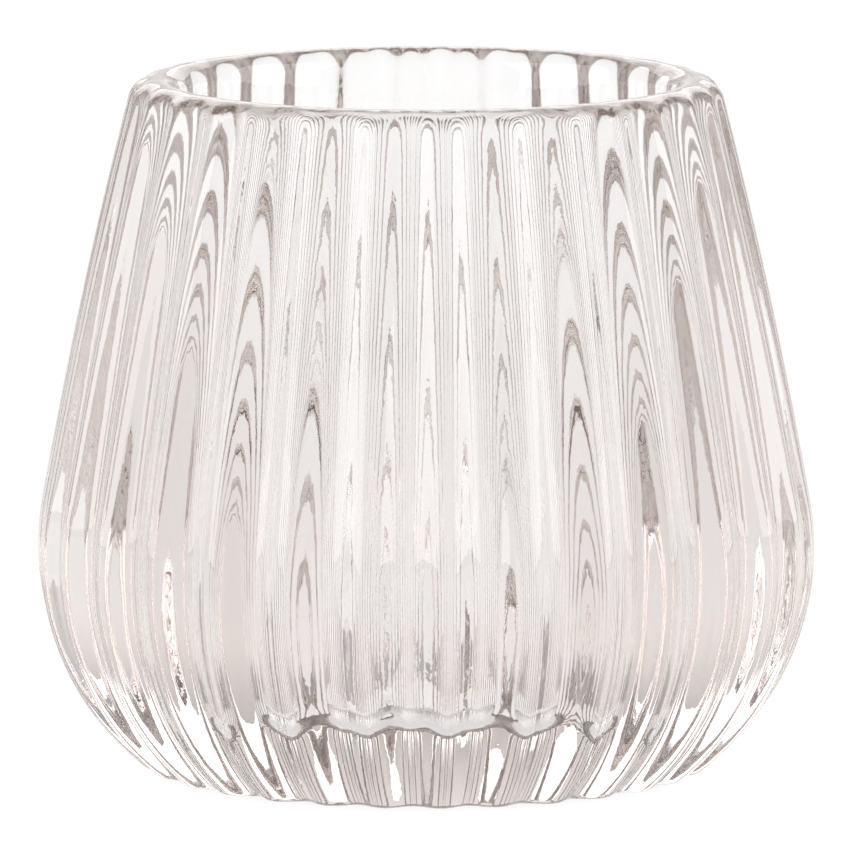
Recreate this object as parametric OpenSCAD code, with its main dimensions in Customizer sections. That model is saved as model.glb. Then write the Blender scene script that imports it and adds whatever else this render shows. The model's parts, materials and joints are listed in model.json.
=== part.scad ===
// Clear pressed-glass tealight holder: one thick-walled ribbed cup, open at the top.
// The origin is the centre of the foot, on the surface that the holder stands on, and +Z is up.
// Round profiles are worked out in a half plane as [distance from the axis, height].

/* [Body] */
// Largest diameter, across the rib crests
body_d = 90; // [86:0.5:96]
// Height from the foot to the top of the rim
body_h = 80; // [74:0.5:86]
// Diameter across the rib crests at the rim
rim_d = 69; // [68.5:0.5:73]
// Height of the widest point above the foot
belly_h = 25.5; // [24:0.5:28]
// Radius of the curve that rounds the wall in under the widest point
belly_r = 32; // [31:0.5:35]
// Radius of the long, almost straight curve of the upper wall
wall_r = 650; // [400:10:1500]
// Radius of the edge around the foot
foot_edge_r = 3.5; // [2:0.25:5]

/* [Ribs] */
// Number of upright ribs around the outside
rib_count = 30; // [24:1:34]
// Depth of the valleys between the ribs, at the widest point
rib_depth = 2.4; // [1.4:0.1:2.6]
// Depth of the valleys at the rim
rib_depth_rim = 1.1; // [0.5:0.1:1.1]
// Height under the rim over which the ribs run out into the lip
rib_run_out = 3; // [2:0.5:6]
// Share of the depth at the rim that is left on top of the lip
rib_share_on_top = 0.3; // [0:0.05:0.3]

/* [Cavity] */
// Diameter of the cavity just under the lip
mouth_d = 57; // [54:0.5:57]
// Diameter of the cavity at its floor
floor_d = 43; // [42:0.5:48]
// Thickness of the glass under the floor
floor_t = 11.5; // [8:0.5:16]
// Radius of the corner around the floor
floor_corner_r = 2.5; // [1:0.25:4]

/* [Lip] */
// Radius of the outer edge of the rim
lip_outer_r = 3; // [1.5:0.1:3]
// Radius of the inner edge of the rim
lip_inner_r = 2.4; // [1:0.1:2.4]

/* [Hidden] */
glass_colour = [0.86, 0.84, 0.85, 0.45];
// Facets across one rib, and along each stretch of the outside profile
rib_facets = 8;
lip_facets = 3;
wall_facets = 4;
belly_facets = 8;
foot_facets = 2;
// Facets around the cavity, and around the circles that round its corner and its edge
cavity_fn = 96;
fillet_fn = 32;
// How far the cavity's cutter stands above the rim
cut_over = 5;
// How far the inner edge circle rises past the rim, so that it crosses the flat instead of grazing it
edge_rise = 0.06;

// Centres of the curves of the outside profile
belly_c = [body_d / 2 - belly_r, belly_h];
lip_c = [rim_d / 2 - lip_outer_r, body_h - lip_outer_r];
foot_c = [
    belly_c.x + sqrt(pow(belly_r - foot_edge_r, 2) - pow(belly_h - foot_edge_r, 2)),
    foot_edge_r
];
wall_c = nested_centre(belly_c, wall_r - belly_r, lip_c, wall_r - lip_outer_r);

// Angles at which each curve hands over to the next, measured from horizontal
lip_end = heading(lip_c - wall_c);
wall_end = heading(belly_c - wall_c);
belly_end = heading(foot_c - belly_c);
foot_end = -90;

// Outside profile on a rib crest, from the top of the lip down to the foot
crest_profile = concat(
    arc(lip_c, lip_outer_r, 90, lip_end, lip_facets),
    skip_first(arc(wall_c, wall_r, lip_end, wall_end, wall_facets)),
    skip_first(arc(belly_c, belly_r, wall_end, belly_end, belly_facets)),
    skip_first(arc(foot_c, foot_edge_r, belly_end, foot_end, foot_facets))
);
rows = len(crest_profile);
columns = rib_count * rib_facets;

// Centres of the floor corner and of the lip's inner edge, and the straight wall that touches both
corner_c = [floor_d / 2 - floor_corner_r, floor_t + floor_corner_r];
edge_c = [mouth_d / 2 + lip_inner_r, body_h - lip_inner_r + edge_rise];
draft = heading(edge_c - corner_c) + asin((floor_corner_r + lip_inner_r) / norm(edge_c - corner_c));
wall_normal = [sin(draft), -cos(draft)];

function heading(v) = atan2(v.y, v.x);
function skip_first(list) = [for (i = [1:len(list) - 1]) list[i]];
function arc(centre, radius, from, to, count) = [
    for (i = [0:count])
        let (a = from + (to - from) * i / count)
        centre + radius * [cos(a), sin(a)]
];

// The point at distance da from a and db from b, on the axis side of the line between them
function nested_centre(a, da, b, db) =
    let (
        gap = norm(b - a),
        turn = acos((gap * gap + da * da - db * db) / (2 * gap * da)),
        direction = heading(b - a) + turn
    )
    a + da * [cos(direction), sin(direction)];

// Share of the depth that is left at a height: all of it, up to where the ribs run out into the lip
function share_at(z) =
    rib_share_on_top + (1 - rib_share_on_top) * sin(90 * min(1, (body_h - z) / rib_run_out));

// Depth of the valleys at a point of the profile: deepest at the widest point
function depth_at(p) =
    p.y > belly_h
        ? share_at(p.y)
            * (rib_depth_rim + (rib_depth - rib_depth_rim) * (body_h - p.y) / (body_h - belly_h))
        : rib_depth * p.x / (body_d / 2);

// The outline at any height is a soft wave: 0 on a crest and 1 in a valley
function valley(column) = (1 - cos(360 * column / rib_facets)) / 2;

// A column's direction around the axis, with a crest facing the front, -Y
function column_angle(column) = -90 + 360 * column / columns;

module ribbed_solid() {
    rings = [
        for (p = crest_profile, c = [0:columns - 1])
            let (r = p.x - depth_at(p) * valley(c), a = column_angle(c))
            [r * cos(a), r * sin(a), p.y]
    ];
    last_ring = (rows - 1) * columns;
    top_centre = rows * columns;
    foot_centre = top_centre + 1;
    caps = [
        for (c = [0:columns - 1])
            let (next = (c + 1) % columns)
            each [
                [top_centre, next, c],
                [foot_centre, last_ring + c, last_ring + next]
            ]
    ];
    sides = [
        for (row = [0:rows - 2], c = [0:columns - 1])
            let (
                next = (c + 1) % columns,
                upper = row * columns,
                lower = upper + columns
            )
            each [
                [upper + c, upper + next, lower + next],
                [upper + c, lower + next, lower + c]
            ]
    ];
    polyhedron(points = concat(rings, [[0, 0, body_h], [0, 0, 0]]), faces = concat(caps, sides));
}

module cavity_profile() {
    difference() {
        union() {
            polygon([
                [0, floor_t],
                [corner_c.x, floor_t],
                corner_c + floor_corner_r * wall_normal,
                edge_c - lip_inner_r * wall_normal,
                [edge_c.x, body_h],
                [edge_c.x, body_h + cut_over],
                [0, body_h + cut_over]
            ]);
            translate(corner_c) circle(r = floor_corner_r, $fn = fillet_fn);
        }
        translate(edge_c) circle(r = lip_inner_r, $fn = fillet_fn);
    }
}

module glass_body() {
    color(glass_colour)
        difference() {
            ribbed_solid();
            rotate_extrude($fn = cavity_fn) cavity_profile();
        }
}

glass_body();
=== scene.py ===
"""Clear pressed-glass tealight holder on a plain pale floor, in soft studio light."""
import json
import math

import bpy
import numpy as np
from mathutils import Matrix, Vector, noise

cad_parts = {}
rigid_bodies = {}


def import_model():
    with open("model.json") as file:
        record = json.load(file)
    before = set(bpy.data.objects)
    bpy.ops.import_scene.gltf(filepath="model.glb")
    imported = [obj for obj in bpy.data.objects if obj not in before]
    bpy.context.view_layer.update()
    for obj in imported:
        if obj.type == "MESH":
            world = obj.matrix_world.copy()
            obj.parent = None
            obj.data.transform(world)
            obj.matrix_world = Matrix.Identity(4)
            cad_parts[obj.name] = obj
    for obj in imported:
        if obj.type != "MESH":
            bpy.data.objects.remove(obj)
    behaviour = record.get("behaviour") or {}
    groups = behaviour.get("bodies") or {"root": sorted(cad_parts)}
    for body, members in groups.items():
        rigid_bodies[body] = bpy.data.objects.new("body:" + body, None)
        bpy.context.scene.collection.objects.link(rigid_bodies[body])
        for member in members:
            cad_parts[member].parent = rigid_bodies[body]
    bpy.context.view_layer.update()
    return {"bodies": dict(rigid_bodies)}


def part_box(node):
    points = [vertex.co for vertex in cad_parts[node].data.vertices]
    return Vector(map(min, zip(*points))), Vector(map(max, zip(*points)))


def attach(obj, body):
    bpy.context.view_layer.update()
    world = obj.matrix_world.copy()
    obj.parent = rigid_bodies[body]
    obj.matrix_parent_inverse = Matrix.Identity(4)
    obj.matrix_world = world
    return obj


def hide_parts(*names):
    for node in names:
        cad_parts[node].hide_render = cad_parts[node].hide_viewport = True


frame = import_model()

NODE = "glass_body"
BODY = next(iter(frame["bodies"]))
low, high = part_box(NODE)
MM = 0.001                   # metres
HEIGHT = high.z - low.z

# ---------------------------------------------------------------- camera
CAMERA_ELEVATION = 8.16      # degrees above the horizon
CAMERA_AZIMUTH = -3.2        # degrees, so that one rib stands just right of the middle
CAMERA_DISTANCE = 1.67       # metres from the point looked at
FRAME_WIDTH = 0.09896        # metres that the frame spans at that distance
LOOK_AT = Vector((0.0003, 0.0, low.z + 0.49 * HEIGHT))
SENSOR_WIDTH = 36.0          # millimetres
FARTHEST_SEEN = 50.0         # metres


def direction(azimuth, elevation):
    """Unit vector from the object towards a camera or a light; azimuth 0 is the front, -Y."""
    a, e = math.radians(azimuth), math.radians(elevation)
    return Vector((math.sin(a) * math.cos(e), -math.cos(a) * math.cos(e), math.sin(e)))


def make_camera():
    data = bpy.data.cameras.new("camera")
    data.sensor_width = SENSOR_WIDTH
    data.lens = data.sensor_width * CAMERA_DISTANCE / FRAME_WIDTH
    data.clip_end = FARTHEST_SEEN
    camera = bpy.data.objects.new("camera", data)
    bpy.context.scene.collection.objects.link(camera)
    camera.location = LOOK_AT + CAMERA_DISTANCE * direction(CAMERA_AZIMUTH, CAMERA_ELEVATION)
    camera.rotation_euler = (LOOK_AT - camera.location).to_track_quat("-Z", "Y").to_euler()
    bpy.context.scene.camera = camera


make_camera()

# ---------------------------------------------------------------- shape, in millimetres
BODY_R = 45.0                # crest radius at the widest point
BODY_H = 80.0                # from the foot to the top of the rim
RIM_R = 34.5                 # crest radius at the rim
BELLY_H = 25.5               # height of the widest point
BELLY_R = 32.0               # radii of the belly's curve, the upper wall's and the foot's
WALL_R = 650.0
FOOT_R = 3.5
RIBS = 30
RIB_DEPTH = 2.4              # depth of the valleys between the ribs, at the belly and at the rim
RIB_DEPTH_RIM = 1.1
MOUTH_R = 28.5               # the cavity, under the lip and at its floor
FLOOR_R = 21.5
FLOOR_T = 11.5               # thickness of the glass under the floor
CORNER_R = 2.5
LIP_OUT_R = 3.0
LIP_IN_R = 2.4
RUN_OUT = 3.0                # height under the rim over which the ribs run out into the lip
SHARE_ON_TOP = 0.3           # share of the rib depth that is left on top of the lip

WAVE_OUT = 0.07              # how far the uneven surface strays, outside and in the cavity
WAVE_IN = 0.05
WAVE_SIZE = 9.0              # distance around from one swell of that surface to the next
WAVE_UPWARD = 0.45           # heights count this much, so the swells are longer upwards
WAVE_SHIFT_IN = 50.0         # sets the cavity's swells apart from those outside

STEPS_PER_RIB = 18
LIP_STEPS, WALL_STEPS, BELLY_STEPS, FOOT_STEPS = 10, 44, 34, 8
INNER_LIP_STEPS, INNER_WALL_STEPS, CORNER_STEPS = 8, 34, 8
CAP_RINGS = (0.75, 0.5, 0.25)   # rings inside the foot's and the floor's edge, as shares of it


def heading(v):
    """Angle of a direction in the half plane, from the outward axis."""
    return math.atan2(v[1], v[0])


def arc(centre, radius, start, end, steps):
    """Points along an arc, both ends included."""
    return [
        (centre[0] + radius * math.cos(start + (end - start) * i / steps),
         centre[1] + radius * math.sin(start + (end - start) * i / steps))
        for i in range(steps + 1)
    ]


def outer_profile():
    """The outside of a rib crest as (radius, height), from the top of the lip to the foot."""
    belly = (BODY_R - BELLY_R, BELLY_H)
    lip = (RIM_R - LIP_OUT_R, BODY_H - LIP_OUT_R)
    run = math.sqrt((BELLY_R - FOOT_R) ** 2 - (BELLY_H - FOOT_R) ** 2)
    foot = (belly[0] + run, FOOT_R)
    to_belly, to_lip = WALL_R - BELLY_R, WALL_R - LIP_OUT_R
    gap = math.dist(belly, lip)
    turn = math.acos((gap ** 2 + to_belly ** 2 - to_lip ** 2) / (2 * gap * to_belly))
    way = heading((lip[0] - belly[0], lip[1] - belly[1])) + turn
    wall = (belly[0] + to_belly * math.cos(way), belly[1] + to_belly * math.sin(way))
    lip_end = heading((lip[0] - wall[0], lip[1] - wall[1]))
    wall_end = heading((belly[0] - wall[0], belly[1] - wall[1]))
    belly_end = heading((foot[0] - belly[0], foot[1] - belly[1]))
    return (
        arc(lip, LIP_OUT_R, math.pi / 2, lip_end, LIP_STEPS)
        + arc(wall, WALL_R, lip_end, wall_end, WALL_STEPS)[1:]
        + arc(belly, BELLY_R, wall_end, belly_end, BELLY_STEPS)[1:]
        + arc(foot, FOOT_R, belly_end, -math.pi / 2, FOOT_STEPS)[1:]
    )


def cavity_profile():
    """The cavity as (radius, height), from the top of the lip to the edge of the flat floor."""
    corner = (FLOOR_R - CORNER_R, FLOOR_T + CORNER_R)
    edge = (MOUTH_R + LIP_IN_R, BODY_H - LIP_IN_R)
    lean = heading((edge[0] - corner[0], edge[1] - corner[1]))
    lean += math.asin((CORNER_R + LIP_IN_R) / math.dist(corner, edge))
    normal = heading((math.sin(lean), -math.cos(lean)))
    lip = arc(edge, LIP_IN_R, math.pi / 2, normal + math.pi, INNER_LIP_STEPS)
    floor = arc(corner, CORNER_R, normal, -math.pi / 2, CORNER_STEPS)
    top, bottom = lip[-1], floor[0]
    wall = [
        (top[0] + (bottom[0] - top[0]) * i / INNER_WALL_STEPS,
         top[1] + (bottom[1] - top[1]) * i / INNER_WALL_STEPS)
        for i in range(1, INNER_WALL_STEPS)
    ]
    return lip + wall + floor


def rib_depth(r, z):
    """Depth of the valleys between the ribs: deepest at the belly, running out into the lip."""
    if z <= BELLY_H:
        return RIB_DEPTH * r / BODY_R
    below_rim = BODY_H - z
    full = RIB_DEPTH_RIM + (RIB_DEPTH - RIB_DEPTH_RIM) * below_rim / (BODY_H - BELLY_H)
    share = math.sin(math.pi / 2 * min(below_rim / RUN_OUT, 1.0))
    return full * (SHARE_ON_TOP + (1 - SHARE_ON_TOP) * share)


def swell(angle, r, z, shift):
    """Smooth unevenness of the pressed surface, from 0 to 1, the same in every run."""
    spot = Vector((r * math.cos(angle), r * math.sin(angle), z * WAVE_UPWARD)) / WAVE_SIZE
    return 0.5 + 0.5 * noise.noise(spot + Vector((shift, 0.0, 0.0)))


def build_glass():
    """The whole holder as one closed mesh, scaled so that it stays inside the CAD solid's box."""
    columns = RIBS * STEPS_PER_RIB
    turn = np.arange(columns) / columns * 2 * math.pi
    angle = turn - math.pi / 2
    valley = (1 - np.cos(RIBS * turn)) / 2
    scale = min((high.y - low.y) / 2 / (BODY_R * MM), 1.0) * MM
    lift = HEIGHT / BODY_H

    points, rings = [], []      # rings holds the index of each ring's first point

    def ring(radii, z, wave, shift):
        """One ring of points; a swell moves a point towards the axis, so none leaves the box."""
        rings.append(len(points))
        for r, a in zip(radii, angle):
            r -= wave * swell(a, r, z, shift)
            points.append((r * math.cos(a) * scale, r * math.sin(a) * scale, low.z + z * lift))

    for r, z in reversed(outer_profile()):
        ring(r - rib_depth(r, z) * valley, z, WAVE_OUT, 0.0)
    for r, z in cavity_profile():
        ring(np.full(columns, r), z, WAVE_IN, WAVE_SHIFT_IN)

    faces = []
    for lower, upper in zip(rings[:-1], rings[1:]):
        for i in range(columns):
            j = (i + 1) % columns
            faces.append((lower + i, lower + j, upper + j, upper + i))

    def cap(ring_start, down):
        """Closes a ring with a flat face that looks down (the foot) or up (the floor)."""
        edge = [points[ring_start + i] for i in range(columns)]
        previous = ring_start
        for share in CAP_RINGS:
            start = len(points)
            points.extend((x * share, y * share, z) for x, y, z in edge)
            for i in range(columns):
                j = (i + 1) % columns
                quad = (previous + i, previous + j, start + j, start + i)
                faces.append(quad[::-1] if down else quad)
            previous = start
        centre = len(points)
        points.append((0.0, 0.0, edge[0][2]))
        for i in range(columns):
            j = (i + 1) % columns
            faces.append((previous + j, previous + i, centre) if down
                         else (previous + i, previous + j, centre))

    cap(rings[0], True)
    cap(rings[-1], False)

    mesh = bpy.data.meshes.new("pressed_glass")
    mesh.from_pydata(points, [], faces)
    mesh.update()
    mesh.polygons.foreach_set("use_smooth", [True] * len(mesh.polygons))
    glass = bpy.data.objects.new("pressed_glass", mesh)
    bpy.context.scene.collection.objects.link(glass)
    return glass


# ---------------------------------------------------------------- materials
GLASS_IOR = 1.5
TINT = (0.84, 0.808, 0.795, 1.0)   # faint mauve
TINT_DENSITY = 30.0                # per metre of glass that the light crosses
RIPPLE_SCALE = 260.0               # fine ripples of the mould, about 4 mm across
RIPPLE_STRENGTH = 0.08
RIPPLE_DEPTH = 0.0004              # metres
GRAIN_SCALE = 1500.0               # faint chill marks, under 1 mm across
GRAIN_SHARE = 0.12
DULL_SCALE = 90.0                  # patches where the surface is a touch less polished
DULL_MOST = 0.012                  # roughness in the dullest of them
DULL_FROM, DULL_FULL = 0.5, 0.75   # noise values between which it sets in

FLOOR_BRIGHT = 1.05                # open table top, just past white
FLOOR_PAINTED_SHADOW = 0.85                # painted shadow under the foot, not a cast one
PAINTED_SHADOW_FROM, PAINTED_SHADOW_TO = 0.022, 0.036   # distances from the axis between which the painted shadow fades out, metres


class Graph:
    """Adds nodes to a node tree; a value is a number or another node's output."""

    def __init__(self, tree):
        self.tree = tree

    def node(self, kind, **inputs):
        node = self.tree.nodes.new(kind)
        for name, value in inputs.items():
            self.put(node.inputs[name.replace("_", " ")], value)
        return node

    def put(self, socket, value):
        if isinstance(value, bpy.types.NodeSocket):
            self.tree.links.new(value, socket)
        else:
            socket.default_value = value

    def math(self, operation, *values):
        node = self.tree.nodes.new("ShaderNodeMath")
        node.operation = operation
        for socket, value in zip(node.inputs, values):
            self.put(socket, value)
        return node.outputs[0]

    def step(self, value, start, end, to_start=0.0, to_end=1.0):
        """Smooth step of value from start to end."""
        node = self.node("ShaderNodeMapRange", Value=value)
        node.interpolation_type = "SMOOTHSTEP"
        for name, number in zip(("From Min", "From Max", "To Min", "To Max"),
                                (start, end, to_start, to_end)):
            node.inputs[name].default_value = number
        return node.outputs["Result"]


def new_material(name):
    material = bpy.data.materials.new(name)
    material.use_nodes = True
    return material, material.node_tree


def glass_material():
    """Clear glass: ripples of the mould in its surface, and a tint that deepens with thickness."""
    material, tree = new_material("clear_pressed_glass")
    shader = tree.nodes["Principled BSDF"]
    shader.inputs["Base Color"].default_value = (1.0, 1.0, 1.0, 1.0)
    shader.inputs["Transmission Weight"].default_value = 1.0
    shader.inputs["IOR"].default_value = GLASS_IOR
    g = Graph(tree)
    place = g.node("ShaderNodeTexCoord").outputs["Object"]
    ripple = g.node("ShaderNodeTexNoise", Vector=place, Scale=RIPPLE_SCALE, Detail=2.0)
    grain = g.node("ShaderNodeTexNoise", Vector=place, Scale=GRAIN_SCALE, Detail=1.0)
    height = g.math("ADD", ripple.outputs[0], g.math("MULTIPLY", grain.outputs[0], GRAIN_SHARE))
    bump = g.node("ShaderNodeBump", Height=height, Strength=RIPPLE_STRENGTH, Distance=RIPPLE_DEPTH)
    tree.links.new(bump.outputs[0], shader.inputs["Normal"])
    dull = g.node("ShaderNodeTexNoise", Vector=place, Scale=DULL_SCALE, Detail=3.0)
    roughness = g.step(dull.outputs[0], DULL_FROM, DULL_FULL, 0.0, DULL_MOST)
    tree.links.new(roughness, shader.inputs["Roughness"])
    absorption = g.node("ShaderNodeVolumeAbsorption", Color=TINT, Density=TINT_DENSITY)
    tree.links.new(absorption.outputs[0], tree.nodes["Material Output"].inputs["Volume"])
    return material


def floor_material():
    """A self-lit white table top with a painted shadow, a little darker where the holder stands on
    it.
    """
    material, tree = new_material("pale_floor")
    tree.nodes.remove(tree.nodes["Principled BSDF"])
    g = Graph(tree)
    place = g.node("ShaderNodeNewGeometry").outputs["Position"]
    split = g.node("ShaderNodeSeparateXYZ", Vector=place)
    squares = [g.math("POWER", split.outputs[axis], 2.0) for axis in ("X", "Y")]
    radius = g.math("SQRT", g.math("ADD", *squares))
    # painted shadow: the floor's own glow is dimmer near the axis, under the foot
    glow_with_painted_shadow = g.step(radius, PAINTED_SHADOW_FROM, PAINTED_SHADOW_TO, FLOOR_PAINTED_SHADOW, FLOOR_BRIGHT)
    emission = g.node("ShaderNodeEmission", Strength=glow_with_painted_shadow)
    tree.links.new(emission.outputs[0], tree.nodes["Material Output"].inputs["Surface"])
    return material


# ---------------------------------------------------------------- stage and light
FLOOR_SIZE = 6.0             # metres
FLOOR_GAP = 0.0004           # keeps the foot and the floor from sharing a plane


def make_floor():
    bpy.ops.mesh.primitive_plane_add(size=FLOOR_SIZE, location=(0, 0, low.z - FLOOR_GAP))
    floor = bpy.context.object
    floor.name = "pale_floor"
    floor.data.materials.append(floor_material())


STUDIO_COLOUR = (1.0, 0.965, 0.955, 1.0)
HORIZON, WALL, CEILING = 1.08, 0.70, 0.22   # how bright the studio is, from low to high
WALL_FROM = 0.28                      # sine of the elevation where the even wall starts
CEILING_FROM, CEILING_FULL = 0.40, 0.85   # sines between which the ceiling takes over
SIDE_FROM, SIDE_FULL = 0.45, 0.75     # how far to the left or right the side walls take over
SIDE_SHARE = 0.4                      # brightness of the side walls, as a share of the rest


def make_world():
    """A studio with pale walls, greyer at the two sides, and a dimmer ceiling."""
    world = bpy.data.worlds.new("studio")
    bpy.context.scene.world = world
    world.use_nodes = True
    background = world.node_tree.nodes["Background"]
    background.inputs["Color"].default_value = STUDIO_COLOUR
    g = Graph(world.node_tree)
    towards = g.node("ShaderNodeTexCoord").outputs["Generated"]
    split = g.node("ShaderNodeSeparateXYZ", Vector=towards)
    upward = split.outputs["Z"]
    wall = g.step(upward, 0.0, WALL_FROM, HORIZON, WALL)
    dimming = g.step(upward, CEILING_FROM, CEILING_FULL, 0.0, WALL - CEILING)
    sides = g.step(g.math("ABSOLUTE", split.outputs["X"]), SIDE_FROM, SIDE_FULL, 1.0, SIDE_SHARE)
    brightness = g.math("MULTIPLY", g.math("SUBTRACT", wall, dimming), sides)
    world.node_tree.links.new(brightness, background.inputs["Strength"])


LIGHT_DISTANCE = 1.6         # metres
GLASS_BOUNCES = 32


def softbox(name, azimuth, elevation, distance, width, height, radiance):
    """An area light that faces the object, with the given radiance all over its face."""
    light = bpy.data.lights.new(name, "AREA")
    light.shape = "RECTANGLE"
    light.size, light.size_y = width, height
    light.energy = radiance * math.pi * width * height
    lamp = bpy.data.objects.new(name, light)
    bpy.context.scene.collection.objects.link(lamp)
    aim = Vector((0, 0, low.z + HEIGHT / 2))
    lamp.location = aim + distance * direction(azimuth, elevation)
    lamp.rotation_euler = (aim - lamp.location).to_track_quat("-Z", "Y").to_euler()


glass = build_glass()
glass.data.materials.append(glass_material())
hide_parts(NODE)
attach(glass, BODY)

make_floor()
make_world()
for side, name in ((-1, "key_left"), (1, "key_right")):
    softbox(name, side * 75, 22, LIGHT_DISTANCE, 1.6, 1.2, 2.4)
softbox("back", 180, 26, LIGHT_DISTANCE, 1.8, 0.8, 1.3)

# light that is caught inside the glass needs many bounces to get out again
cycles = bpy.context.scene.cycles
cycles.max_bounces = cycles.transmission_bounces = cycles.glossy_bounces = GLASS_BOUNCES
bpy.context.scene.view_settings.view_transform = "Standard"
